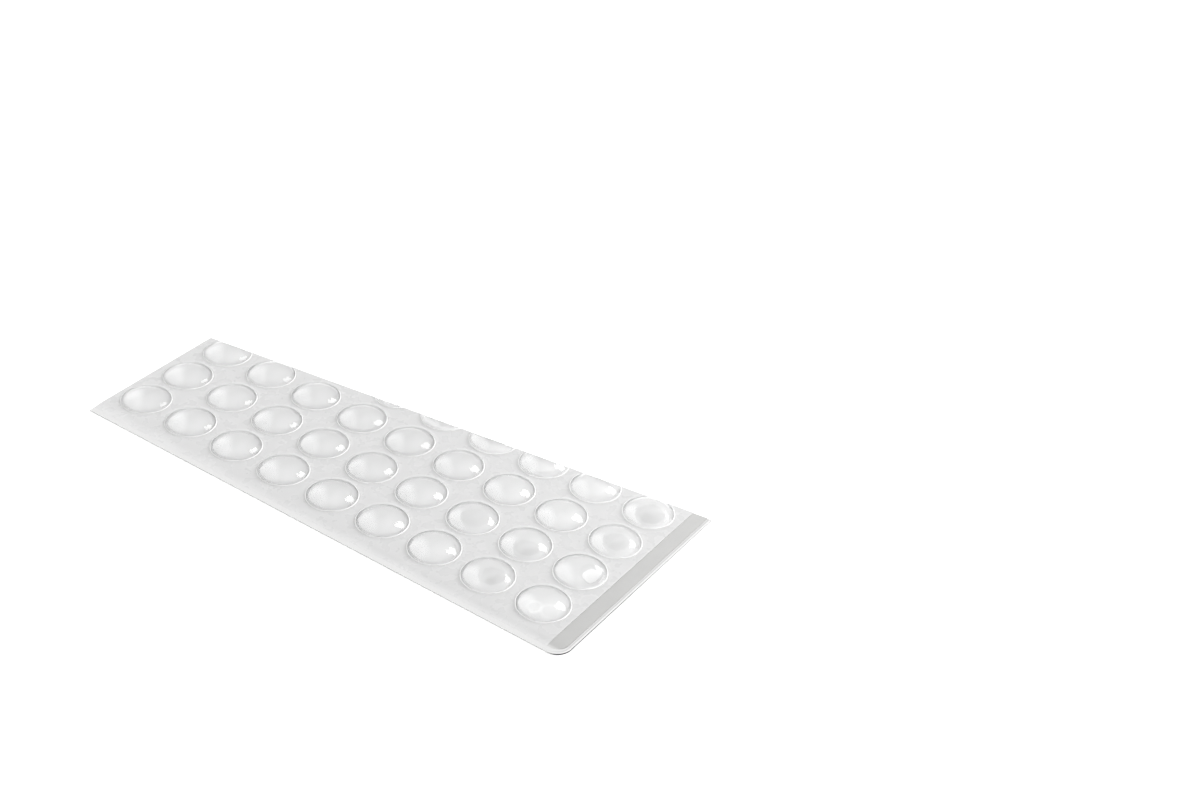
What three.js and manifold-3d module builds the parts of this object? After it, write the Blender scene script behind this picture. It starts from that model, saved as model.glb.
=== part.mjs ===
// A sheet of clear, self-adhesive cabinet door bumpers, as it is sold and stored.
// Moulded polyurethane domes stand in rows on a release liner. Each is cut free, through film and
// adhesive, from the film around it, so that it peels off by itself. The liner has one rounded corner
// and two plain cut edges: the left end, and the back, where the cut slants through the last rows.
// Millimetres, +Z up. X runs along the rows, Y across them from the front. The origin is the middle of
// the sheet's bounding rectangle, on the underside of the liner.

import * as THREE from 'three';
import { mergeVertices } from 'three/addons/utils/BufferGeometryUtils.js';
import Module from 'manifold-3d';

const wasm = await Module();
wasm.setup();

// Layers, from the bottom up
const linerThickness = 0.25;
const adhesiveThickness = 0.1;
const filmThickness = 0.1;

// One bumper
const footDiameter = 10;
const footStep = 0.15; // how far the foot stands above the film around it
const footRimWidth = 0.3; // flat rim of the foot around the dome
const bumperHeight = 2; // crown above the adhesive face
const flankSlope = 75; // degrees, the steep flank of the dome above its foot
const shoulderRadius = 0.3; // from the flank into the crown
const domeFilletRadius = 0.15; // hollow curve between the flank and the foot
const kissCutGap = 0.1; // all round the foot

// Rows and columns of bumpers
const columnCount = 9;
const rowCount = 4;
const columnGap = 2; // between the feet of two neighbours in a row
const rowGap = 1.2; // between the feet of two rows

// The sheet around them, measured from the outermost feet
const frontBorder = 4.25; // first row to the liner's front edge
const leftBorder = 0.75; // first column to the liner's front left corner
const filmRightBorder = 1.45; // last column to the film's right edge
const adhesiveStripWidth = 2.95; // adhesive left bare beyond the film's right edge
const linerRightBorder = 0.8; // liner left bare beyond the adhesive
const linerFrontBorder = 1.2; // liner left bare in front of adhesive and film
const cornerRadius = 3;

// The two cuts
const leftCutLean = 1.1; // how far the left cut runs out of square over its length
const backCutLeftSetback = 9.05; // in front of the last row's centres, at the left end
const backCutRightSetback = -5.95; // the same, at the right end, where it lies behind them
const domeCutSlope = 38.6; // degrees from level: the cut face of the domes leans over the sheet

// Facets
const roundSegments = 20;
const crownBands = 3;
const shoulderBands = 1;
const filletBands = 1;
const cornerSegments = 6;

// Cutters
const cutterOverrun = 1; // past the faces of the layer that is cut
const trimmerSize = 4 * footDiameter; // block that trims a bumper
const weldTolerance = 1e-5;

// Heights
const linerTop = linerThickness;
const adhesiveTop = linerTop + adhesiveThickness;
const filmTop = adhesiveTop + filmThickness;
const footTop = filmTop + footStep;
const crownHeight = linerTop + bumperHeight;

// How far the leaning cut reaches over the sheet before it clears the domes
const leaningReach = (crownHeight - filmTop) / Math.tan(THREE.MathUtils.degToRad(domeCutSlope));

// Spacing of the bumpers, and the margins from the outermost centres to the liner's edges
const footRadius = footDiameter / 2;
const domeRadius = footRadius - footRimWidth;
const columnPitch = footDiameter + columnGap;
const rowPitch = footDiameter + rowGap;
const leftMargin = leftBorder + footRadius;
const frontMargin = frontBorder + footRadius;
const rightMargin = footRadius + filmRightBorder + adhesiveStripWidth + linerRightBorder;

// Plan of the liner
const linerLength = leftMargin + (columnCount - 1) * columnPitch + rightMargin;
const lastRowFromFront = frontMargin + (rowCount - 1) * rowPitch;
const leftWidth = lastRowFromFront - backCutLeftSetback;
const rightWidth = lastRowFromFront - backCutRightSetback;
const linerRightX = (linerLength + leftCutLean) / 2;
const linerFrontLeftX = linerRightX - linerLength;
const linerFrontY = -Math.max(leftWidth, rightWidth) / 2;
const backLeft = new THREE.Vector2(linerFrontLeftX - leftCutLean, linerFrontY + leftWidth);
const backRight = new THREE.Vector2(linerRightX, linerFrontY + rightWidth);
const firstColumnX = linerFrontLeftX + leftMargin;
const firstRowY = linerFrontY + frontMargin;

// X of the left cut at a given Y, and Y of the slanting back cut at a given X
const leftCutX = (y) => linerFrontLeftX - (leftCutLean * (y - linerFrontY)) / leftWidth;
const backCutSlope = (backRight.y - backLeft.y) / (backRight.x - backLeft.x);
const backCutY = (x) => backLeft.y + backCutSlope * (x - backLeft.x);

// How far a point lies in front of the slanting cut, square to it
const inFrontOfCut = (x, y) => (backCutY(x) - y) / Math.hypot(1, backCutSlope);

const clearPolyurethane = new THREE.MeshStandardMaterial({
  color: 0xf1f2f2,
  roughness: 0.08,
  metalness: 0,
  transparent: true,
  opacity: 0.55,
});
const filmMaterial = new THREE.MeshStandardMaterial({
  color: 0xdedede,
  roughness: 0.3,
  metalness: 0,
});
const adhesiveMaterial = new THREE.MeshStandardMaterial({
  color: 0xcccccb,
  roughness: 0.45,
  metalness: 0,
});
const linerMaterial = new THREE.MeshStandardMaterial({
  color: 0xe4e4e4,
  roughness: 0.5,
  metalness: 0,
});

// A closed geometry as a solid that can be cut
function solidOf(geometry) {
  const plain = geometry.clone();
  plain.deleteAttribute('normal');
  plain.deleteAttribute('uv');
  const merged = mergeVertices(plain, weldTolerance);
  return new wasm.Manifold(
    new wasm.Mesh({
      numProp: 3,
      vertProperties: new Float32Array(merged.attributes.position.array),
      triVerts: new Uint32Array(merged.index.array),
    }),
  );
}

function geometryOf(solid) {
  const mesh = solid.getMesh();
  const geometry = new THREE.BufferGeometry();
  geometry.setAttribute('position', new THREE.BufferAttribute(mesh.vertProperties, 3));
  geometry.setIndex(new THREE.BufferAttribute(mesh.triVerts, 1));
  geometry.computeVertexNormals();
  return geometry;
}

// Plan of one layer: front and right edges of its own, left and back edges on the two cuts
function layerShape(frontY, rightX, radius) {
  const shape = new THREE.Shape();
  shape.moveTo(leftCutX(frontY), frontY);
  if (radius > 0) {
    shape.lineTo(rightX - radius, frontY);
    shape.absarc(rightX - radius, frontY + radius, radius, -Math.PI / 2, 0);
  } else {
    shape.lineTo(rightX, frontY);
  }
  shape.lineTo(rightX, backCutY(rightX));
  shape.lineTo(backLeft.x, backLeft.y);
  shape.closePath();
  return shape;
}

function layerGeometry(shape, bottom, thickness) {
  const geometry = new THREE.ExtrudeGeometry(shape, {
    depth: thickness,
    bevelEnabled: false,
    curveSegments: cornerSegments,
  });
  geometry.translate(0, 0, bottom);
  return geometry;
}

// A round plug standing on Z, its facets in line with those of a turned bumper
function plugGeometry(radius, bottom, top) {
  const geometry = new THREE.CylinderGeometry(radius, radius, top - bottom, roundSegments);
  geometry.rotateX(Math.PI / 2);
  geometry.translate(0, 0, (bottom + top) / 2);
  return geometry;
}

// Centres of the bumpers that the slanting cut leaves, whole or with some of the dome. A mere scrap of
// rim is gone.
function bumperPlaces() {
  const places = [];
  for (let row = 0; row < rowCount; row += 1) {
    for (let column = 0; column < columnCount; column += 1) {
      const x = firstColumnX + column * columnPitch;
      const y = firstRowY + row * rowPitch;
      if (inFrontOfCut(x, y) > -domeRadius) {
        places.push({ row, column, x, y });
      }
    }
  }
  return places;
}

// Half section of a bumper, from the axis out along its adhesive face and back over the dome
function bumperProfile() {
  const slope = THREE.MathUtils.degToRad(flankSlope);
  const filletX = footRadius - footRimWidth;
  const filletY = footTop + domeFilletRadius;

  // The fillet and the shoulder meet on the flank, and the shoulder touches the crown's sphere
  const bothRadii = domeFilletRadius + shoulderRadius;
  const shoulderX = filletX - bothRadii * Math.sin(slope);
  const shoulderY = filletY - bothRadii * Math.cos(slope);
  const drop = crownHeight - shoulderY;
  const sphereRadius = (shoulderX ** 2 + drop ** 2 - shoulderRadius ** 2) / (2 * (drop - shoulderRadius));
  const sphereY = crownHeight - sphereRadius;
  const crownSlope = Math.atan2(shoulderX, shoulderY - sphereY);

  const points = [
    new THREE.Vector2(0, linerTop),
    new THREE.Vector2(footRadius, linerTop),
    new THREE.Vector2(footRadius, footTop),
    new THREE.Vector2(filletX, footTop),
  ];
  for (let i = 1; i <= filletBands; i += 1) {
    const angle = (slope * i) / filletBands;
    points.push(
      new THREE.Vector2(
        filletX - domeFilletRadius * Math.sin(angle),
        filletY - domeFilletRadius * Math.cos(angle),
      ),
    );
  }
  for (let i = 1; i <= shoulderBands; i += 1) {
    const angle = slope + ((crownSlope - slope) * i) / shoulderBands;
    points.push(
      new THREE.Vector2(
        shoulderX + shoulderRadius * Math.sin(angle),
        shoulderY + shoulderRadius * Math.cos(angle),
      ),
    );
  }
  for (let i = crownBands - 1; i > 0; i -= 1) {
    const angle = (crownSlope * i) / crownBands;
    points.push(
      new THREE.Vector2(
        sphereRadius * Math.sin(angle),
        sphereY + sphereRadius * Math.cos(angle),
      ),
    );
  }
  points.push(new THREE.Vector2(0, crownHeight));
  return points;
}

// Everything behind a plane that goes through the slanting cut at the given height and leans over the
// sheet, as seen from a bumper at x, y
function offcutGeometry(x, y, slope, height) {
  const geometry = new THREE.BoxGeometry(trimmerSize, trimmerSize, trimmerSize);
  geometry.translate(0, trimmerSize / 2, 0);
  geometry.rotateX(Math.PI / 2 - THREE.MathUtils.degToRad(slope));
  geometry.rotateZ(Math.atan(backCutSlope));
  geometry.translate(0, backCutY(x) - y, height);
  return geometry;
}

// Up to the film's top a bumper is cut square, like the sheet, and above it with a leaning face
function trimmedBumper(whole, x, y) {
  const squareCut = solidOf(offcutGeometry(x, y, 90, 0));
  const leaningCut = solidOf(offcutGeometry(x, y, domeCutSlope, filmTop));
  return geometryOf(solidOf(whole).subtract(squareCut).subtract(leaningCut));
}

function releaseLiner() {
  const shape = layerShape(linerFrontY, linerRightX, cornerRadius);
  const mesh = new THREE.Mesh(layerGeometry(shape, 0, linerThickness), linerMaterial);
  mesh.name = 'release_liner';
  return mesh;
}

// A layer with a round hole for every bumper
function piercedLayer(name, shape, bottom, thickness, places, material) {
  const holeRadius = footRadius + kissCutGap;
  const plug = solidOf(
    plugGeometry(holeRadius, bottom - cutterOverrun, bottom + thickness + cutterOverrun),
  );
  let solid = solidOf(layerGeometry(shape, bottom, thickness));
  for (const { x, y } of places) {
    solid = solid.subtract(plug.translate([x, y, 0]));
  }
  const mesh = new THREE.Mesh(geometryOf(solid), material);
  mesh.name = name;
  return mesh;
}

function adhesiveLayer(places) {
  const shape = layerShape(
    linerFrontY + linerFrontBorder,
    linerRightX - linerRightBorder,
    cornerRadius - Math.min(linerFrontBorder, linerRightBorder),
  );
  return piercedLayer(
    'adhesive_layer', shape, linerTop, adhesiveThickness, places, adhesiveMaterial,
  );
}

function surroundingFilm(places) {
  const shape = layerShape(
    linerFrontY + linerFrontBorder,
    linerRightX - linerRightBorder - adhesiveStripWidth,
    0,
  );
  return piercedLayer(
    'surrounding_film', shape, adhesiveTop, filmThickness, places, filmMaterial,
  );
}

function bumperMeshes(places) {
  const whole = new THREE.LatheGeometry(bumperProfile(), roundSegments);
  whole.rotateX(Math.PI / 2);
  return places.map(({ row, column, x, y }) => {
    const isCut = inFrontOfCut(x, y) < footRadius + leaningReach;
    const geometry = isCut ? trimmedBumper(whole, x, y) : whole;
    const mesh = new THREE.Mesh(geometry, clearPolyurethane);
    mesh.name = `bumper_row${row + 1}_col${column + 1}`;
    mesh.position.set(x, y, 0);
    return mesh;
  });
}

const places = bumperPlaces();
const sheet = new THREE.Group();
sheet.add(releaseLiner());
sheet.add(adhesiveLayer(places));
sheet.add(surroundingFilm(places));
sheet.add(...bumperMeshes(places));

export default sheet;
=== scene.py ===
import math

import bmesh
import bpy
from mathutils import Matrix, Vector, geometry, noise


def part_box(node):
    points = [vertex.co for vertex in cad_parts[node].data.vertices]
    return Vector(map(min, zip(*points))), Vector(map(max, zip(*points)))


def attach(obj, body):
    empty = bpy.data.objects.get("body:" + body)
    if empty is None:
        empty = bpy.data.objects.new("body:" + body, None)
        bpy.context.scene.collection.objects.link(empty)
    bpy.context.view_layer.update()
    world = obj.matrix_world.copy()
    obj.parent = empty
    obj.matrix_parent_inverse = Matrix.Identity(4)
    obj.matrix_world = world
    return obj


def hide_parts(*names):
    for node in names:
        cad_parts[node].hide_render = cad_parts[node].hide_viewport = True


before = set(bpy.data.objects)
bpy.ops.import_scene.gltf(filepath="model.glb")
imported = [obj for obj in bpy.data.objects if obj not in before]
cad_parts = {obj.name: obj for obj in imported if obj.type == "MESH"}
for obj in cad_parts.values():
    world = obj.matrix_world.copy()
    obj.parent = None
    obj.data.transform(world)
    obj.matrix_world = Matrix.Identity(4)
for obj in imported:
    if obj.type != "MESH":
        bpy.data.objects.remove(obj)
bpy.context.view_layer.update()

# A sheet of clear self-adhesive door bumpers: moulded domes on a release liner, each cut free of the
# film around it. Everything is in metres, and places are worked out from the frame.

mm = 0.001
close = 0.01 * mm                # places nearer than this count as the same
sharpAngle = math.radians(50)    # edges sharper than this stay crisp
holeSides = 96                   # straight sides of each round hole in a layer
print("frame loaded:", len(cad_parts), "nodes")


# Where things are, read from the frame

def cornersOf(node):
    low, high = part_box(node)
    return Vector(low), Vector(high)


def linerCorners():
    # the four corners of the liner, and the radius of its rounded one
    points = [v.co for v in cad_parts["release_liner"].data.vertices]
    front = min(p.y for p in points)
    right = max(p.x for p in points)
    onFront = [p for p in points if p.y < front + close]
    return {
        "frontLeft": Vector(min(onFront, key=lambda p: p.x).xy),
        "frontRight": Vector((right, front)),
        "backRight": Vector(max((p for p in points if p.x > right - close), key=lambda p: p.y).xy),
        "backLeft": Vector(min(points, key=lambda p: p.x).xy),
        "radius": right - max(p.x for p in onFront),
    }


def rimHeight(node):
    # top of the foot's rim, which is the widest part of a bumper
    low, high = cornersOf(node)
    middle = (low + high) / 2
    reach = (high.x - low.x) / 2 - close
    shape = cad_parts[node]
    points = [shape.matrix_world @ v.co for v in shape.data.vertices]
    return max(p.z for p in points if (p.xy - middle.xy).length > reach)


linerLow, linerHigh = cornersOf("release_liner")
stripLow, stripHigh = cornersOf("adhesive_layer")
filmLow, filmHigh = cornersOf("surrounding_film")
firstLow, firstHigh = cornersOf("bumper_row1_col1")
corners = linerCorners()
footRadius = (firstHigh.x - firstLow.x) / 2
firstCentre = Vector(((firstLow.x + firstHigh.x) / 2, (firstLow.y + firstHigh.y) / 2))
columnPitch = cornersOf("bumper_row1_col2")[0].x - firstLow.x
rowPitch = cornersOf("bumper_row2_col1")[0].y - firstLow.y
crownHeight = firstHigh.z
footTop = rimHeight("bumper_row1_col1")
linerTop = linerHigh.z
adhesiveTop = stripHigh.z
filmTop = filmHigh.z


def centreOf(row, column):
    return firstCentre + Vector(((column - 1) * columnPitch, (row - 1) * rowPitch))


def bumperNodes():
    # every bumper in the frame, as (node, row, column)
    found = []
    for name in sorted(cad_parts):
        if name.startswith("bumper_row"):
            row, column = name[len("bumper_row"):].split("_col")
            found.append((name, int(row), int(column)))
    return found


bumpers = bumperNodes()
lastColumn = max(column for _, _, column in bumpers)


# Shader nodes

def addNode(tree, kind, inputs=None, **settings):
    # one shader node; an input is a value or the socket that feeds it
    made = tree.nodes.new("ShaderNode" + kind)
    for key, value in settings.items():
        setattr(made, key, value)
    for key, value in (inputs or {}).items():
        if isinstance(value, bpy.types.NodeSocket):
            tree.links.new(value, made.inputs[key])
        else:
            made.inputs[key].default_value = value
    return made


def maths(tree, operation, first, second=0.0):
    return addNode(tree, "Math", {0: first, 1: second}, operation=operation).outputs[0]


def vectorMaths(tree, operation, first, second=(0.0, 0.0, 0.0)):
    return addNode(tree, "VectorMath", {0: first, 1: second}, operation=operation).outputs["Vector"]


def lengthOf(tree, vector):
    return addNode(tree, "VectorMath", {0: vector}, operation="LENGTH").outputs["Value"]


def ranged(tree, value, fromLow, fromHigh, toLow, toHigh, smooth=True):
    return addNode(
        tree, "MapRange",
        {"Value": value, "From Min": fromLow, "From Max": fromHigh, "To Min": toLow, "To Max": toHigh},
        interpolation_type="SMOOTHSTEP" if smooth else "LINEAR",
    ).outputs["Result"]


def patchy(tree, place, size, spread, detail=2.0):
    # soft blotches about size across, as a value from -spread to spread
    lowest, highest = 0.15, 0.85    # how far the noise really swings
    blotches = addNode(tree, "TexNoise", {"Vector": place, "Scale": 1 / size, "Detail": detail})
    return ranged(tree, blotches.outputs["Fac"], lowest, highest, -spread, spread, smooth=False)


def total(tree, first, *rest):
    value = first
    for term in rest:
        value = maths(tree, "ADD", value, term)
    return value


def seenDirectly(tree):
    # 1 for what the camera, a reflection or clear plastic shows, 0 for light on matt surfaces
    path = addNode(tree, "LightPath")
    shown = maths(tree, "MAXIMUM", path.outputs["Is Camera Ray"], path.outputs["Is Glossy Ray"])
    return maths(tree, "MAXIMUM", shown, path.outputs["Is Transmission Ray"])


# Stage: camera, lamps, world and floor

cameraSettings = {
    "place": (0.1704, -0.20889, 0.19721),
    "azimuth": -31.062,    # degrees from +Y towards +X
    "elevation": 33.721,   # degrees looking down
    "roll": 5.508,
    "lens": 52.266,
}

lightSettings = {
    # A bright double lamp behind the right end, whose reflection is a small notched highlight.
    # Places and sizes are measured across the direction in which it stands.
    "keyDirection": (0.26, 0.68, 0.685),
    "lampDistance": 1.0,
    "keyLamps": [
        {"aside": 0.0, "above": -0.09, "wide": 0.4, "tall": 0.34, "level": 0.16},
        {"aside": -0.05, "above": 0.15, "wide": 0.24, "tall": 0.22, "level": 0.045},
    ],
    # a plain low lamp that gives the soft shadows, and no highlight
    "shadeDirection": (0.48, 0.77, 0.42),
    "shadeSize": 0.3,
    "shadeLevel": 0.34,
    # a tall soft window beyond the left end
    "windowDirection": (-0.73, 0.0, 0.68),
    "windowLength": (0.48, -0.63, 0.58),    # the way its long side runs
    "windowHalfLong": 0.95,
    "windowHalfShort": 0.5,
    "windowSoftness": 0.6,
    "windowLevel": 2.8,
    "worldLevel": 0.33,    # what matt surfaces get from all round
    "floorLift": 0.3,      # keeps the floor white where the camera sees it
    "floorHalf": 3.0,
}


def makeCamera(settings):
    azimuth = math.radians(settings["azimuth"])
    elevation = math.radians(settings["elevation"])
    roll = math.radians(settings["roll"])
    ahead = Vector((
        math.sin(azimuth) * math.cos(elevation),
        math.cos(azimuth) * math.cos(elevation),
        -math.sin(elevation),
    ))
    right = ahead.cross(Vector((0, 0, 1))).normalized()
    up = right.cross(ahead)
    rolledRight = math.cos(roll) * right + math.sin(roll) * up
    rolledUp = -math.sin(roll) * right + math.cos(roll) * up
    data = bpy.data.cameras.new("camera")
    data.lens = settings["lens"]
    data.sensor_width = 36
    data.clip_start = 0.01
    data.clip_end = 20
    camera = bpy.data.objects.new("camera", data)
    turn = Matrix((rolledRight, rolledUp, -ahead)).transposed()
    camera.matrix_world = Matrix.Translation(settings["place"]) @ turn.to_4x4()
    bpy.context.collection.objects.link(camera)
    bpy.context.scene.camera = camera


def makeLamp(name, direction, distance, lamp):
    # its level is the share of a white floor's brightness that it gives
    direction = Vector(direction).normalized()
    turn = direction.to_track_quat("Z", "Y")
    data = bpy.data.lights.new(name, "AREA")
    data.shape = "ELLIPSE"
    data.size = lamp["wide"]
    data.size_y = lamp["tall"]
    data.energy = lamp["level"] * math.pi ** 2 * distance ** 2 / direction.z
    made = bpy.data.objects.new(name, data)
    made.location = direction * distance + turn @ Vector((lamp["aside"], lamp["above"], 0))
    made.rotation_euler = turn.to_euler()
    made.visible_transmission = False    # what lies under the domes gets even light
    bpy.context.collection.objects.link(made)
    return made


def makeLamps(settings):
    distance = settings["lampDistance"]
    for number, lamp in enumerate(settings["keyLamps"], 1):
        makeLamp(f"keyLamp{number}", settings["keyDirection"], distance, lamp)
    shade = {
        "aside": 0.0, "above": 0.0, "wide": settings["shadeSize"], "tall": settings["shadeSize"],
        "level": settings["shadeLevel"],
    }
    makeLamp("shadeLamp", settings["shadeDirection"], distance, shade).visible_glossy = False


def makeWorld(settings):
    world = bpy.data.worlds.new("paleStudio")
    world.use_nodes = True
    tree = world.node_tree
    tree.nodes.clear()
    direction = Vector(settings["windowDirection"]).normalized()
    across = Vector(settings["windowLength"]).cross(direction).normalized()
    along = direction.cross(across)
    sky = addNode(tree, "TexCoord").outputs["Generated"]
    inWindow = addNode(tree, "Mapping", {
        "Vector": sky,
        "Location": direction,
        "Rotation": Matrix((direction, across, along)).transposed().to_euler(),
        "Scale": (1.0, settings["windowHalfShort"], settings["windowHalfLong"]),
    }, vector_type="TEXTURE").outputs["Vector"]
    glow = addNode(tree, "TexGradient", {"Vector": inWindow}, gradient_type="SPHERICAL").outputs["Fac"]
    window = ranged(tree, glow, 0, settings["windowSoftness"], 0, settings["windowLevel"])
    level = ranged(tree, seenDirectly(tree), 0, 1, settings["worldLevel"], 1, smooth=False)
    background = addNode(tree, "Background", {
        "Color": (1, 1, 1, 1), "Strength": maths(tree, "ADD", level, window),
    })
    out = addNode(tree, "OutputWorld", {"Surface": background.outputs["Background"]})
    out.is_active_output = True
    bpy.context.scene.world = world


def makeFloor(settings):
    material, tree, shader = newMaterial("paleFloor", {
        "Base Color": (0.95, 0.95, 0.95, 1), "Roughness": 1, "Specular IOR Level": 0,
        "Emission Color": (1, 1, 1, 1),
    })
    lift = maths(tree, "MULTIPLY", seenDirectly(tree), settings["floorLift"])
    tree.links.new(lift, shader.inputs["Emission Strength"])
    half = settings["floorHalf"]
    mesh = bpy.data.meshes.new("floor")
    mesh.from_pydata(
        [(-half, -half, 0), (half, -half, 0), (half, half, 0), (-half, half, 0)], [], [(0, 1, 2, 3)],
    )
    mesh.materials.append(material)
    floor = bpy.data.objects.new("floor", mesh)
    bpy.context.collection.objects.link(floor)


def newMaterial(name, values):
    # a material with one Principled shader, and the values set on it
    material = bpy.data.materials.new(name)
    material.use_nodes = True
    tree = material.node_tree
    shader = tree.nodes["Principled BSDF"]
    for key, value in values.items():
        shader.inputs[key].default_value = value
    return material, tree, shader


bpy.context.scene.view_settings.view_transform = "Standard"
bpy.context.scene.cycles.blur_glossy = 0    # the domes keep the light that they focus
makeCamera(cameraSettings)
makeLamps(lightSettings)
makeWorld(lightSettings)
makeFloor(lightSettings)
print("stage ready")


# Places on the sheet, inside shaders

def objectPlace(tree):
    return addNode(tree, "TexCoord").outputs["Object"]


def gridOffset(tree, place, first):
    # flat offset from the nearest spot of a grid with the bumpers' pitches, through the first spot
    half = (columnPitch / 2, rowPitch / 2, 1.0)
    offset = vectorMaths(tree, "SUBTRACT", place, (*first, 0.0))
    wrap = addNode(
        tree, "VectorMath", {0: offset, 1: half, 2: tuple(-h for h in half)}, operation="WRAP",
    ).outputs["Vector"]
    return vectorMaths(tree, "MULTIPLY", wrap, (1.0, 1.0, 0.0))


def fromFootEdge(tree, place):
    # distance from the edge of the nearest bumper's foot, outwards
    return maths(tree, "SUBTRACT", lengthOf(tree, gridOffset(tree, place, firstCentre)), footRadius)


def fromGapMiddle(tree, place):
    # distance from the nearest spot midway between four bumpers
    midway = firstCentre + Vector((columnPitch, rowPitch)) / 2
    return lengthOf(tree, gridOffset(tree, place, midway))


def towards(tree, place, direction):
    # how far off the middle of the nearest bumper, in one direction
    offset = gridOffset(tree, place, firstCentre)
    share = addNode(tree, "VectorMath", {0: offset, 1: (*direction, 0.0)}, operation="DOT_PRODUCT")
    return share.outputs["Value"]


def fromBorder(tree, place):
    # distance in from the liner's front and right edges, round its corner too
    radius = corners["radius"]
    middle = corners["frontRight"] + Vector((-radius, radius))
    offset = vectorMaths(tree, "SUBTRACT", place, (*middle, 0.0))
    outward = vectorMaths(tree, "MULTIPLY", offset, (1.0, -1.0, 0.0))
    beyond = vectorMaths(tree, "MAXIMUM", outward, (0.0, 0.0, 0.0))
    return maths(tree, "SUBTRACT", radius, lengthOf(tree, beyond))


def fromSpot(tree, place, spot):
    # flat distance from one place on the sheet
    offset = vectorMaths(tree, "SUBTRACT", place, (*spot, 0.0))
    return lengthOf(tree, vectorMaths(tree, "MULTIPLY", offset, (1.0, 1.0, 0.0)))


def partOf(tree, place, axis):
    return addNode(tree, "SeparateXYZ", {"Vector": place}).outputs[axis]


def setTone(tree, shader, tone, tint):
    # a grey of the given tone, slightly tinted
    colour = addNode(tree, "VectorMath", {0: tint, "Scale": tone}, operation="SCALE").outputs["Vector"]
    tree.links.new(colour, shader.inputs["Base Color"])


def setBump(tree, shader, *layers):
    # each layer is a height in metres
    bump = addNode(tree, "Bump", {"Height": total(tree, *layers), "Distance": 1.0, "Strength": 1.0})
    tree.links.new(bump.outputs["Normal"], shader.inputs["Normal"])


# In the settings below, a blotch, grain, tooth or wave is its size across and how much it adds or
# takes. A fade is the distances at which it starts and ends, or its one width.

# Release liner: coated paper, white, with a fine satin tooth

linerSettings = {
    "tone": 0.64,
    "blotch": (6 * mm, 0.008),
    "tint": (1.0, 1.0, 0.996),
    "edgeHighlight": 0.1,          # painted highlight along the right edge, where the border bends up
    "brightFade": (0.1 * mm, 0.4 * mm),
    "creaseShade": 0.12,           # painted shade along a crease inside it
    "greyPlace": 0.46 * mm,     # in from the edge
    "greyFade": (0.04 * mm, 0.16 * mm),
    "roughness": 0.45,
    "roughBlotch": (1.5 * mm, 0.05),
    "tooth": (0.35 * mm, 0.0006 * mm),
    "wave": (8 * mm, 0.01 * mm),
    "edgeTone": 0.93,           # the paper core at the cut edges
    "edgeBlotch": (0.8 * mm, 0.03),
    "edgeTint": (1.0, 1.0, 0.99),
    "edgeTooth": (0.1 * mm, 0.002 * mm),
    # painted shadow along the liner's right cut edge, near black
    "rightEdgeShadowTone": 0.05,
    "rightEdgeShadowEase": 0.5,    # the painted shadow eases towards the back end of the right edge
    "arcSteps": 16,
    "step": 2 * mm,
}


def atRightEdge(tree, place):
    # 1 along the liner's right edge, fading out round its corner
    return ranged(tree, partOf(tree, place, "X"), linerHigh.x - corners["radius"], linerHigh.x - mm, 0, 1)


def linerMaterial(settings):
    material, tree, shader = newMaterial("linerPaper", {"Specular IOR Level": 0.4})
    place = objectPlace(tree)
    inward = fromBorder(tree, place)
    # painted highlight and painted shade where the right border bends up, along the right edge
    bright = ranged(tree, inward, *settings["brightFade"], settings["edgeHighlight"], 0)
    fromCrease = maths(tree, "ABSOLUTE", maths(tree, "SUBTRACT", inward, settings["greyPlace"]))
    crease = ranged(tree, fromCrease, *settings["greyFade"], -settings["creaseShade"], 0)
    lines = maths(tree, "MULTIPLY", maths(tree, "ADD", bright, crease), atRightEdge(tree, place))
    tone = total(tree, patchy(tree, place, *settings["blotch"]), lines, settings["tone"])
    setTone(tree, shader, tone, settings["tint"])
    rough = total(tree, patchy(tree, place, *settings["roughBlotch"]), settings["roughness"])
    tree.links.new(rough, shader.inputs["Roughness"])
    setBump(tree, shader, patchy(tree, place, *settings["tooth"]), patchy(tree, place, *settings["wave"]))
    return material


def linerEdgeMaterial(settings):
    material, tree, shader = newMaterial("linerCutEdge", {"Roughness": 0.8, "Specular IOR Level": 0.2})
    place = objectPlace(tree)
    # painted shadow along the right cut edge, easing towards the back end
    backwards = ranged(
        tree, partOf(tree, place, "Y"), linerLow.y + corners["radius"], linerHigh.y,
        settings["rightEdgeShadowTone"] - settings["edgeTone"],
        settings["rightEdgeShadowTone"] + settings["rightEdgeShadowEase"] - settings["edgeTone"],
        smooth=False,
    )
    darker = maths(tree, "MULTIPLY", backwards, atRightEdge(tree, place))
    tone = total(tree, patchy(tree, place, *settings["edgeBlotch"]), darker, settings["edgeTone"])
    setTone(tree, shader, tone, settings["edgeTint"])
    setBump(tree, shader, patchy(tree, place, *settings["edgeTooth"]))
    return material


# Adhesive around the bumpers, bare in a strip beside the film

adhesiveSettings = {
    "tone": 0.435,
    "blotch": (3 * mm, 0.014),
    "grain": (0.4 * mm, 0.006),
    "tint": (1.0, 0.999, 0.985),
    "backLighter": 0.05,     # towards the back end of the strip
    "roughness": 0.4,
    "roughBlotch": (1 * mm, 0.08),
    "wave": (1.5 * mm, 0.006 * mm),
    "tooth": (0.25 * mm, 0.0008 * mm),
    "frontTaper": 2 * mm,
    "taperRows": (0.12, 0.25, 0.4, 0.55, 0.7, 0.85, 1.0),    # shares of it where the mesh bends
    "taperStep": 0.5 * mm,
    "frontLighter": 0.14,    # where the liner shows through the thin front edge
    "frontFade": 0.9 * mm,
    "taperLeft": 0.05,       # share of the thickness left at the front edge
    "kissCut": 0.02 * mm,
    "step": 2 * mm,
}


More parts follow.
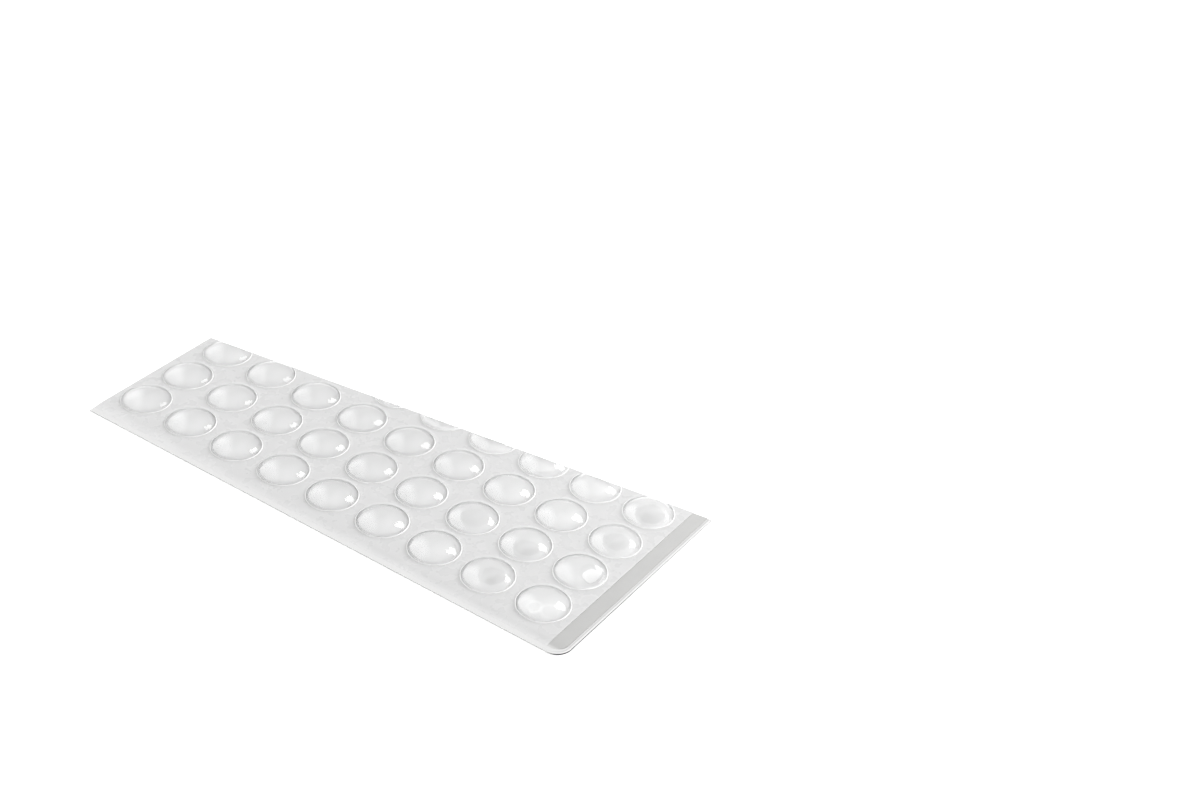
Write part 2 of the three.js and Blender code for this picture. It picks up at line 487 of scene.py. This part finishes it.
def adhesiveMaterial(settings):
    material, tree, shader = newMaterial("bareAdhesive", {"Specular IOR Level": 0.5})
    place = objectPlace(tree)
    depth = partOf(tree, place, "Y")
    lighter = ranged(tree, depth, stripLow.y, stripHigh.y, 0, settings["backLighter"], smooth=False)
    fadeEnd = stripLow.y + settings["frontFade"]
    faded = ranged(tree, depth, stripLow.y, fadeEnd, settings["frontLighter"], 0)
    tone = total(
        tree, patchy(tree, place, *settings["blotch"]), patchy(tree, place, *settings["grain"]),
        lighter, faded, settings["tone"],
    )
    setTone(tree, shader, tone, settings["tint"])
    rough = total(tree, patchy(tree, place, *settings["roughBlotch"]), settings["roughness"])
    tree.links.new(rough, shader.inputs["Roughness"])
    setBump(tree, shader, patchy(tree, place, *settings["wave"]), patchy(tree, place, *settings["tooth"]))
    return material


# Clear satin film over it, up to the bumpers

filmSettings = {
    "tone": 0.565,
    "blotch": (9 * mm, 0.003),
    "grain": (1.6 * mm, 0.002),
    "tint": (1.0, 1.0, 1.0),
    "farLighter": 0.035,     # towards the back right corner
    "farAtFront": 0.1,       # share of it at the front right
    "cutHighlight": 0.012,     # painted highlight on the lip round each kiss cut
    "cutFade": (0.05 * mm, 0.4 * mm),
    "frontLighter": 0.065,   # thin front edge, where the liner shows through, plus painted light over the shade of its sloping taper
    "frontFade": 2.4 * mm,
    "rightLighter": 0.05,    # cut right edge
    "rightFade": 0.5 * mm,
    "gapLight": 0.012,         # faint discs of painted light from the domes, midway between four bumpers
    "gapLightFade": (0.9 * mm, 1.6 * mm),
    "ring": 0.025,           # painted light from the domes, in a ring round the disc that is beside the strip
    "ringRadius": 1.9 * mm,
    "ringFade": (0.1 * mm, 0.35 * mm),
    "seatShade": 0.06,      # painted shade beside each foot, on the side away from the lamps
    "seatSide": (-0.61, -0.79),
    "seatFrom": 0.2,         # share of the foot's radius where that side starts
    "seatFade": (0.15 * mm, 0.6 * mm),
    "roughness": 0.28,
    "roughBlotch": (2 * mm, 0.05),
    "wave": (5 * mm, 0.003 * mm),
    "tooth": (0.5 * mm, 0.0004 * mm),
    "lipHeight": 0.06 * mm,  # rise of the film towards each bumper
    "lipWidth": 0.8 * mm,
    "lipDrop": 0.04 * mm,    # rounding at the very edge of each hole
    "lipRound": 0.06 * mm,
    "lipRings": (0.03, 0.06, 0.16, 0.28, 0.4, 0.52, 0.66, 0.8),    # in millimetres, where the mesh bends
    "swellHeight": 0.02 * mm,
    "swells": 110,           # in a metre
    "step": 1 * mm,
}


def filmMaterial(settings):
    material, tree, shader = newMaterial("satinFilm", {"Specular IOR Level": 0.5})
    place = objectPlace(tree)
    across = partOf(tree, place, "X")
    depth = partOf(tree, place, "Y")
    far = maths(
        tree, "MULTIPLY",
        ranged(tree, across, 0, filmHigh.x, 0, 1, smooth=False),
        ranged(tree, depth, filmLow.y, filmHigh.y, settings["farAtFront"], 1, smooth=False),
    )
    # painted highlight on the film's lip round each kiss cut
    lip = ranged(tree, fromFootEdge(tree, place), *settings["cutFade"], settings["cutHighlight"], 0)
    # lighter front edge: the liner showing through, plus painted light over the shade of the taper
    front = ranged(tree, depth, filmLow.y, filmLow.y + settings["frontFade"], settings["frontLighter"], 0)
    right = ranged(tree, across, filmHigh.x - settings["rightFade"], filmHigh.x, 0, settings["rightLighter"])
    # painted light that the domes throw, in faint discs midway between four bumpers
    inGap = ranged(tree, fromGapMiddle(tree, place), *settings["gapLightFade"], settings["gapLight"], 0)
    # no discs in front of the first row
    gapLight = maths(tree, "MULTIPLY", inGap, ranged(tree, depth, firstCentre.y, firstCentre.y + mm, 0, 1))
    # a ring of painted light round the disc beside the strip
    besideStrip = centreOf(1, lastColumn) + Vector((columnPitch, rowPitch)) / 2
    away = fromSpot(tree, place, besideStrip)
    fromRing = maths(tree, "ABSOLUTE", maths(tree, "SUBTRACT", away, settings["ringRadius"]))
    ring = ranged(tree, fromRing, *settings["ringFade"], settings["ring"], 0)
    # painted shade beside each foot, on the side away from the lamps
    shadeStart = settings["seatFrom"] * footRadius
    shaded = ranged(tree, towards(tree, place, settings["seatSide"]), shadeStart, footRadius, 0, 1)
    paintedSeatShade = ranged(tree, fromFootEdge(tree, place), *settings["seatFade"], -settings["seatShade"], 0)
    tone = total(
        tree, patchy(tree, place, *settings["blotch"]), patchy(tree, place, *settings["grain"]),
        maths(tree, "MULTIPLY", far, settings["farLighter"]), lip, front, right, gapLight, ring,
        maths(tree, "MULTIPLY", paintedSeatShade, shaded), settings["tone"],
    )
    setTone(tree, shader, tone, settings["tint"])
    rough = total(tree, patchy(tree, place, *settings["roughBlotch"]), settings["roughness"])
    tree.links.new(rough, shader.inputs["Roughness"])
    setBump(tree, shader, patchy(tree, place, *settings["wave"]), patchy(tree, place, *settings["tooth"]))
    return material


# Sheet layers

def sheetOutline(frontInset, rightInset, radius, arcSteps):
    # the liner's plan drawn in at the front and right, with the left and back on the two cuts
    front = corners["frontLeft"].y + frontInset
    right = corners["frontRight"].x - rightInset
    left = corners["frontLeft"]
    lean = corners["backLeft"] - left
    back = corners["backRight"] - corners["backLeft"]
    points = [left + lean * (frontInset / lean.y)]
    if radius > 0:
        for i in range(arcSteps + 1):
            angle = -math.pi / 2 + math.pi / 2 * i / arcSteps
            points.append(Vector((
                right - radius + radius * math.cos(angle),
                front + radius + radius * math.sin(angle),
            )))
    else:
        points.append(Vector((right, front)))
    points.append(Vector((right, corners["backLeft"].y + back.y / back.x * (right - corners["backLeft"].x))))
    points.append(corners["backLeft"].copy())
    return points


def divided(points, step):
    # the same closed outline with a point at least every step
    result = []
    for i, a in enumerate(points):
        b = points[(i + 1) % len(points)]
        count = max(1, math.ceil((b - a).length / step))
        result.extend(a.lerp(b, k / count) for k in range(count))
    return result


def insidePolygon(point, polygon):
    inside = False
    for i, a in enumerate(polygon):
        b = polygon[i - 1]
        if (a.y > point.y) != (b.y > point.y):
            if point.x < (b.x - a.x) * (point.y - a.y) / (b.y - a.y) + a.x:
                inside = not inside
    return inside


def circle(centre, radius, sides):
    return [
        centre + radius * Vector((math.cos(math.tau * k / sides), math.sin(math.tau * k / sides)))
        for k in range(sides)
    ]


def clearOfHoles(point, holes, margin):
    return all((point - centre).length > radius + margin for centre, radius in holes)


def layerMesh(name, outline, holes, extra, step, bottomAt, topAt):
    # a flat layer with round holes, from one triangulation; extra points refine it where it bends
    sides = holeSides
    loop = divided(outline, step)
    points = list(loop)
    edges = [(i, (i + 1) % len(loop)) for i in range(len(loop))]
    for centre, radius in holes:
        start = len(points)
        points.extend(circle(centre, radius, sides))
        edges.extend((start + k, start + (k + 1) % sides) for k in range(sides))
    points.extend(p for p in extra if insidePolygon(p, outline) and clearOfHoles(p, holes, 0))
    low = Vector((min(p.x for p in loop), min(p.y for p in loop)))
    high = Vector((max(p.x for p in loop), max(p.y for p in loop)))
    x = low.x + step / 2
    while x < high.x:
        y = low.y + step / 2
        while y < high.y:
            p = Vector((x, y))
            if insidePolygon(p, outline) and clearOfHoles(p, holes, step / 2):
                points.append(p)
            y += step
        x += step
    merging = 1e-8    # points nearer than this become one
    flat, _, faces, _, _, _ = geometry.delaunay_2d_cdt(points, edges, [], 0, merging)
    chord = math.cos(math.pi / sides)    # share of a hole's radius to the middle of its straight sides
    thinnest = 2e-4 * mm ** 2    # anything thinner only lies along a straight stretch of the outline
    work = bmesh.new()
    verts = {}
    for face in faces:
        first, second, third = (flat[i] for i in face)
        middle = (first + second + third) / 3
        if not insidePolygon(middle, outline) or abs((second - first).cross(third - first)) < thinnest:
            continue
        if any((middle - centre).length < radius * chord for centre, radius in holes):
            continue
        for i in face:
            if i not in verts:
                verts[i] = work.verts.new((flat[i].x, flat[i].y, bottomAt(flat[i])))
        work.faces.new([verts[i] for i in face])
    raised = bmesh.ops.extrude_face_region(work, geom=list(work.faces))["geom"]
    for item in raised:
        if isinstance(item, bmesh.types.BMVert):
            item.co.z = topAt(item.co.xy)
    bmesh.ops.recalc_face_normals(work, faces=work.faces)
    upright = 0.3    # the cut sides are the faces whose normal rises less than this
    for face in work.faces:
        face.smooth = True
        face.material_index = 1 if abs(face.normal.z) < upright else 0
    mesh = bpy.data.meshes.new(name)
    work.to_mesh(mesh)
    work.free()
    mesh.set_sharp_from_angle(angle=sharpAngle)
    return mesh


def addPiece(name, mesh, materials, node):
    for material in materials:
        mesh.materials.append(material)
    piece = bpy.data.objects.new(name, mesh)
    bpy.context.collection.objects.link(piece)
    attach(piece, "root")
    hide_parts(node)
    return piece


def smoothStep(low, high, value):
    # 0 up to low, 1 from high on, and a soft rise between them
    t = min(1.0, max(0.0, (value - low) / (high - low)))
    return t * t * (3 - 2 * t)


def nearestEdge(point):
    # distance out from the foot of the nearest bumper
    return min((point - centreOf(row, column)).length for _, row, column in bumpers) - footRadius


def frontTaper(point):
    # 1 over most of the sheet, less where adhesive and film thin out towards the front
    settings = adhesiveSettings
    share = smoothStep(0, settings["frontTaper"], point.y - stripLow.y)
    return settings["taperLeft"] + (1 - settings["taperLeft"]) * share


def adhesiveTopAt(point):
    return linerTop + (adhesiveTop - linerTop) * frontTaper(point)


def filmTopAt(point):
    settings = filmSettings
    thickness = (filmTop - adhesiveTop) * frontTaper(point)
    out = nearestEdge(point)
    lip = settings["lipHeight"] * (1 - smoothStep(0, settings["lipWidth"], out)) * frontTaper(point)
    drop = settings["lipDrop"] * (1 - smoothStep(0, settings["lipRound"], out))
    swells = settings["swells"]
    swell = settings["swellHeight"] * noise.noise(Vector((point.x * swells, point.y * swells, 3)))
    calm = smoothStep(0, mm, out) * frontTaper(point)
    return adhesiveTopAt(point) + thickness + lip - drop + swell * calm


def linerBottomAt(point):
    return 0.0


def linerTopFlat(point):
    return linerTop


kissCut = adhesiveSettings["kissCut"]
holes = [(centreOf(row, column), footRadius + kissCut) for _, row, column in bumpers]
frontInset = stripLow.y - linerLow.y
rightInset = linerHigh.x - stripHigh.x
stripRadius = corners["radius"] - min(frontInset, rightInset)

addPiece(
    "releaseLiner",
    layerMesh(
        "releaseLiner", sheetOutline(0, 0, corners["radius"], linerSettings["arcSteps"]),
        [], [], linerSettings["step"], linerBottomAt, linerTopFlat,
    ),
    [linerMaterial(linerSettings), linerEdgeMaterial(linerSettings)], "release_liner",
)

taperStep = adhesiveSettings["taperStep"]
taperPoints = [
    Vector((k * taperStep, stripLow.y + share * adhesiveSettings["frontTaper"]))
    for share in adhesiveSettings["taperRows"]
    for k in range(math.floor(linerLow.x / taperStep), math.ceil(linerHigh.x / taperStep))
]
adhesive = adhesiveMaterial(adhesiveSettings)
addPiece(
    "adhesiveLayer",
    layerMesh(
        "adhesiveLayer", sheetOutline(frontInset, rightInset, stripRadius, linerSettings["arcSteps"]),
        holes, taperPoints, adhesiveSettings["step"], linerTopFlat, adhesiveTopAt,
    ),
    [adhesive, adhesive], "adhesive_layer",
)

lipPoints = [
    point for centre, radius in holes for out in filmSettings["lipRings"]
    for point in circle(centre, radius + out * mm, holeSides)
]
filmLook = filmMaterial(filmSettings)
addPiece(
    "surroundingFilm",
    layerMesh(
        "surroundingFilm", sheetOutline(frontInset, linerHigh.x - filmHigh.x, 0, 1),
        holes, taperPoints + lipPoints, filmSettings["step"], adhesiveTopAt, filmTopAt,
    ),
    [filmLook, filmLook], "surrounding_film",
)
print("layers made")


# Bumpers: clear moulded domes

bumperSettings = {
    "rim": 0.3 * mm,         # flat foot round the dome
    "flankSlope": 60,        # degrees, above the foot
    "shoulder": 0.3 * mm,    # radius from the flank into the crown
    "fillet": 0.25 * mm,     # hollow radius between the flank and the foot
    "edgeWide": 0.2 * mm,    # rounding of the foot's upper edge
    "edgeHigh": 0.13 * mm,
    "cutSlope": 38.6,        # degrees from level, the face that the slanting cut leaves on a dome
    "lift": 0.005 * mm,      # adhesive face above the liner
    "capRings": 34,
    "capCalm": 0.85,         # share of them from which the marks fade out
    "shoulderRings": 7,
    "filletRings": 5,
    "edgeRings": 5,
    "sides": 120,
    "ripple": 0.004 * mm,    # unevenness of every dome
    "rippleSize": 1.8 * mm,
    "roughGrain": 0.45 * mm,    # size across, in a rough mark
    "colour": (0.985, 0.988, 0.988, 1),
    "clearness": 1.49,
    "roughness": 0.05,
    "roughBlotch": (1.2 * mm, 0.008),
    "wave": (1.1 * mm, 0.0012 * mm),
    "footTone": 0.645,       # adhesive face under the dome
    "footBlotch": (2.5 * mm, 0.008),
    "footGrain": (0.3 * mm, 0.004),
    "footTint": (1.0, 1.0, 0.999),
    "rimLitTone": 0.7,          # the same under the rim, lighter there as painted light that spreads through the liner
    "rimFade": (-1.5 * mm, -0.6 * mm),    # out from the foot's edge
    "nearLighter": 0.2,      # towards the near side, where the dome gathers light
    "nearSide": (0.99, -0.15),
    "nearFade": (-0.5 * mm, 4.5 * mm),    # off the middle, towards that side
    "farLighter": 0.12,      # towards the back right corner
    "farAtFront": 0.4,       # share of it at the front right
    "edgePaintedLight": 0.16,     # painted light on the rounded matt edge of the foot, on the side away from the lamps
    "edgePaintedShade": 0.05,      # painted shade on the same, on the side towards them
    "seenBeyond": (-0.6, 1.0),    # millimetres from a mark to what the camera sees through it
    "warpSize": 1.4 * mm,    # unevenness of the patches under the marks
    "warpReach": mm,
    "pressedShade": 0.06,   # painted shade under a dome that was pressed flat, for the grey look of its flat
    "pressedFade": 0.8,      # from this share of its size outwards
    "ringHighlight": 2.0,      # painted highlight under a ring mark, for each millimetre of its height
    "ringFade": 0.3,         # from this share of its width outwards
    "dustDarker": 0.3,
    "dustFade": (0.5, 1.5),  # shares of a speck's radius
    "cutTone": 0.96,         # frosted face where the slanting cut goes through
    "cutBlotch": (0.5 * mm, 0.02),
    "cutTint": (1.0, 1.0, 1.0),
    "cutClear": 0.85,        # share of light that passes it
    "cutRoughness": 0.5,
    "cutTooth": (0.2 * mm, 0.002 * mm),
}

# What sets single bumpers apart, as (row, column): marks on the dome. Places and sizes in millimetres
# from the middle of the dome. A flat is pressed level, a dent or ring is lower or higher by its height.
domeMarks = {
    (1, 3): [{"kind": "dent", "at": (1.1, -2.9), "size": 0.3, "height": -0.012}],
    (1, 7): [{"kind": "rough", "at": (1.2, -2.6), "size": 0.9, "height": 0.012}],
    (1, 8): [{"kind": "flat", "at": (1.5, -0.9), "size": 2.4, "share": 1.0}],
    (1, 9): [
        {"kind": "ring", "at": (0.1, -2.7), "size": 1.2, "width": 0.35, "height": 0.024},
        {"kind": "ring", "at": (2.6, -2.0), "size": 1.5, "width": 0.4, "height": 0.018},
    ],
    (2, 4): [{"kind": "dent", "at": (0.4, -2.5), "size": 0.35, "height": -0.015}],
    (2, 6): [{"kind": "dent", "at": (2.6, -0.7), "size": 0.3, "height": -0.012}],
    (2, 7): [{"kind": "flat", "at": (1.1, -1.0), "size": 2.6, "share": 0.6}],
    (2, 8): [{"kind": "flat", "at": (1.4, -1.9), "size": 2.3, "share": 1.0}],
    (2, 9): [{"kind": "flat", "at": (2.8, -0.4), "size": 2.9, "share": 0.85}],
    (3, 5): [{"kind": "ring", "at": (-0.6, -1.6), "size": 0.5, "width": 0.15, "height": 0.006}],
    (3, 8): [
        {"kind": "ring", "at": (-0.5, -2.2), "size": 0.4, "width": 0.16, "height": 0.008},
        {"kind": "ring", "at": (0.4, -1.9), "size": 0.5, "width": 0.16, "height": 0.008},
    ],
    (3, 9): [{"kind": "flat", "at": (1.0, -1.3), "size": 2.5, "share": 1.0}],
    (4, 9): [
        {"kind": "flat", "at": (1.3, -1.4), "size": 2.9, "share": 1.1},
        {"kind": "rough", "at": (0.6, -0.4), "size": 1.4, "height": 0.012},
    ],
}

# Specks of dust caught under the domes, as (row, column), place and radius in millimetres
dustSpecks = [
    (1, 4, (-1.6, 2.0), 0.07),
    (1, 5, (-1.5, 2.6), 0.08),
    (2, 6, (2.4, 0.4), 0.05),
]


def clearMaterial(settings):
    material, tree, shader = newMaterial("clearPolyurethane", {
        "Base Color": settings["colour"], "Transmission Weight": 1, "IOR": settings["clearness"],
    })
    place = objectPlace(tree)
    rough = total(tree, patchy(tree, place, *settings["roughBlotch"]), settings["roughness"])
    tree.links.new(rough, shader.inputs["Roughness"])
    setBump(tree, shader, patchy(tree, place, *settings["wave"], detail=1.0))
    return material


def markPatches(tree, place, settings):
    # uneven patches of painted shade under the flat of a pressed dome and painted highlight under a ring,
    # each where the camera sees it through the mark
    beyond = Vector(settings["seenBeyond"])
    reach = settings["warpReach"]
    warp = addNode(tree, "TexNoise", {"Vector": place, "Scale": 1 / settings["warpSize"], "Detail": 1.0})
    shift = vectorMaths(tree, "SUBTRACT", warp.outputs["Color"], (0.5, 0.5, 0.5))
    uneven = vectorMaths(tree, "ADD", place, vectorMaths(tree, "MULTIPLY", shift, (reach, reach, 0.0)))
    patches = []
    for (row, column), marks in domeMarks.items():
        for mark in marks:
            away = fromSpot(tree, uneven, centreOf(row, column) + (Vector(mark["at"]) + beyond) * mm)
            size = mark["size"] * mm
            if mark["kind"] == "flat":
                darker = -settings["pressedShade"] * mark["share"]
                patches.append(ranged(tree, away, settings["pressedFade"] * size, size, darker, 0))
            if mark["kind"] == "ring":
                fromRing = maths(tree, "ABSOLUTE", maths(tree, "SUBTRACT", away, size))
                lighter = settings["ringHighlight"] * mark["height"]
                width = mark["width"] * mm
                patches.append(ranged(tree, fromRing, settings["ringFade"] * width, width, lighter, 0))
    return total(tree, *patches)


def dust(tree, place, settings):
    dots = []
    inner, outer = settings["dustFade"]
    for row, column, spot, radius in dustSpecks:
        away = fromSpot(tree, place, centreOf(row, column) + Vector(spot) * mm)
        dots.append(ranged(tree, away, inner * radius * mm, outer * radius * mm, -settings["dustDarker"], 0))
    return total(tree, *dots)


def footMaterial(settings):
    material, tree, shader = newMaterial("bumperAdhesive", {"Roughness": 0.6, "Specular IOR Level": 0})
    place = objectPlace(tree)
    # painted light: the face under the dome's rim is lighter
    rimPaintedLight = settings["rimLitTone"] - settings["footTone"]
    rim = ranged(tree, fromFootEdge(tree, place), *settings["rimFade"], 0, rimPaintedLight)
    side = towards(tree, place, settings["nearSide"])
    near = ranged(tree, side, *settings["nearFade"], 0, settings["nearLighter"], smooth=False)
    across = partOf(tree, place, "X")
    depth = partOf(tree, place, "Y")
    far = maths(
        tree, "MULTIPLY",
        ranged(tree, across, 0, filmHigh.x, 0, settings["farLighter"], smooth=False),
        ranged(tree, depth, filmLow.y, filmHigh.y, settings["farAtFront"], 1, smooth=False),
    )
    # painted light and shade on the foot's rounded matt edge, lighter on the side away from the lamps
    lit = ranged(
        tree, towards(tree, place, filmSettings["seatSide"]), -footRadius, footRadius,
        -settings["edgePaintedShade"], settings["edgePaintedLight"],
    )
    edge = maths(tree, "MULTIPLY", lit, ranged(tree, partOf(tree, place, "Z"), adhesiveTop, filmTop, 0, 1))
    tone = total(
        tree, patchy(tree, place, *settings["footBlotch"]), patchy(tree, place, *settings["footGrain"]),
        rim, near, far, edge,
        markPatches(tree, place, settings), dust(tree, place, settings), settings["footTone"],
    )
    setTone(tree, shader, tone, settings["footTint"])
    return material


def cutFaceMaterial(settings):
    material, tree, shader = newMaterial("cutPolyurethane", {
        "Transmission Weight": settings["cutClear"], "IOR": settings["clearness"],
        "Roughness": settings["cutRoughness"],
    })
    place = objectPlace(tree)
    tone = total(tree, patchy(tree, place, *settings["cutBlotch"]), settings["cutTone"])
    setTone(tree, shader, tone, settings["cutTint"])
    setBump(tree, shader, patchy(tree, place, *settings["cutTooth"]))
    return material


def domeCurves(settings):
    # where the shoulder's section is centred, and the radius and middle height of the crown's sphere
    slope = math.radians(settings["flankSlope"])
    both = settings["fillet"] + settings["shoulder"]
    across = footRadius - settings["rim"] - both * math.sin(slope)
    up = footTop + settings["fillet"] - both * math.cos(slope)
    drop = crownHeight - up
    sphere = (across ** 2 + drop ** 2 - settings["shoulder"] ** 2) / (2 * (drop - settings["shoulder"]))
    return across, up, sphere, crownHeight - sphere


def domeSection(settings):
    # half section from just off the crown out to the foot, as (radius, height, share of marks)
    across, up, sphere, middle = domeCurves(settings)
    slope = math.radians(settings["flankSlope"])
    crownSlope = math.atan2(across, up - middle)
    points = []
    for i in range(1, settings["capRings"] + 1):
        angle = crownSlope * i / settings["capRings"]
        fade = 1 - smoothStep(settings["capCalm"], 1, i / settings["capRings"])
        points.append((sphere * math.sin(angle), middle + sphere * math.cos(angle), fade))
    shoulder = settings["shoulder"]
    for i in range(1, settings["shoulderRings"] + 1):
        angle = crownSlope + (slope - crownSlope) * i / settings["shoulderRings"]
        points.append((across + shoulder * math.sin(angle), up + shoulder * math.cos(angle), 0))
    fillet = settings["fillet"]
    for i in range(1, settings["filletRings"] + 1):
        angle = slope * (1 - i / settings["filletRings"])
        radius = footRadius - settings["rim"] - fillet * math.sin(angle)
        points.append((radius, footTop + fillet - fillet * math.cos(angle), 0))
    wide = settings["edgeWide"]
    high = settings["edgeHigh"]
    for i in range(settings["edgeRings"] + 1):
        angle = math.pi / 2 * i / settings["edgeRings"]
        radius = footRadius - wide + wide * math.sin(angle)
        points.append((radius, footTop - high + high * math.cos(angle), 0))
    points.append((footRadius, linerTop + settings["lift"], 0))
    return points


def markHeight(mark, x, y, sphere):
    # how far one mark moves the dome's surface up, in metres; x and y from the middle of the dome
    away = Vector((x - mark["at"][0] * mm, y - mark["at"][1] * mm)).length
    size = mark["size"] * mm
    if mark["kind"] == "flat":
        bulge = (size ** 2 - away ** 2) / (2 * sphere)
        soft = 0.012 * mm    # rounds the border of the flat
        return -mark["share"] * (bulge + math.sqrt(bulge ** 2 + soft ** 2)) / 2
    height = mark["height"] * mm
    if mark["kind"] == "dent":
        return height * math.exp(-((away / size) ** 2))
    if mark["kind"] == "ring":
        return height * math.exp(-(((away - size) / (mark["width"] * mm)) ** 2))
    grain = noise.noise(Vector((x, y, 0)) / bumperSettings["roughGrain"])
    return height * grain * math.exp(-((away / size) ** 2))


def bumperMesh(name, row, column, settings):
    work = bmesh.new()
    sides = settings["sides"]
    sphere = domeCurves(settings)[2]
    marks = domeMarks.get((row, column), [])
    seed = Vector((row * 7.3, column * 5.1, 2.7))    # a stretch of the noise for each dome

    def heightAt(x, y, height, share):
        if share == 0:
            return height
        moved = sum(markHeight(mark, x, y, sphere) for mark in marks)
        ripple = noise.noise(seed + Vector((x, y, 0)) / settings["rippleSize"])
        moved += settings["ripple"] * (ripple - 0.5)
        return height + share * moved

    crown = work.verts.new((0, 0, heightAt(0, 0, crownHeight, 1)))
    rings = []
    for radius, height, share in domeSection(settings):
        ring = []
        for k in range(sides):
            x = radius * math.cos(math.tau * k / sides)
            y = radius * math.sin(math.tau * k / sides)
            ring.append(work.verts.new((x, y, heightAt(x, y, height, share))))
        rings.append(ring)
    for k in range(sides):
        work.faces.new((crown, rings[0][k], rings[0][(k + 1) % sides]))
    for inner, outer in zip(rings, rings[1:]):
        for k in range(sides):
            n = (k + 1) % sides
            work.faces.new((inner[k], outer[k], outer[n], inner[n]))
    flatRim = footRadius - settings["edgeWide"] - close
    for face in work.faces:
        face.smooth = True
        if min(v.co.xy.length for v in face.verts) > flatRim:
            face.material_index = 1    # the foot's rounded edge and its cut side are matt
    bottom = work.faces.new(list(reversed(rings[-1])))
    bottom.material_index = 1
    centre = centreOf(row, column)
    bmesh.ops.translate(work, verts=work.verts, vec=(centre.x, centre.y, 0))
    trim(work, settings)
    mesh = bpy.data.meshes.new(name)
    work.to_mesh(mesh)
    work.free()
    mesh.set_sharp_from_angle(angle=sharpAngle)
    return mesh


def trim(work, settings):
    # cuts a bumper off along the slanting cut, square at the foot and leaning over the sheet above it
    along = (corners["backRight"] - corners["backLeft"]).normalized()
    slope = math.radians(settings["cutSlope"])
    backward = Vector((-along.y, along.x, 0))
    leaning = backward * math.sin(slope) + Vector((0, 0, math.cos(slope)))
    onPlane = 1e-8    # points nearer to the plane than this lie on it
    for height, normal in ((0, backward), (filmTop, leaning)):
        place = Vector((corners["backLeft"].x, corners["backLeft"].y, height))
        if all((v.co - place).dot(normal) < 0 for v in work.verts):
            continue
        geom = list(work.verts) + list(work.edges) + list(work.faces)
        cut = bmesh.ops.bisect_plane(
            work, geom=geom, dist=onPlane, plane_co=place, plane_no=normal, clear_outer=True,
        )
        edges = [e for e in cut["geom_cut"] if isinstance(e, bmesh.types.BMEdge)]
        for face in bmesh.ops.holes_fill(work, edges=edges)["faces"]:
            face.material_index = 2    # frosted


clear = clearMaterial(bumperSettings)
foot = footMaterial(bumperSettings)
cutFace = cutFaceMaterial(bumperSettings)
for node, row, column in bumpers:
    name = f"bumperRow{row}Column{column}"
    mesh = bumperMesh(name, row, column, bumperSettings)
    addPiece(name, mesh, [clear, foot, cutFace], node)
print("bumpers made:", len(bumpers))
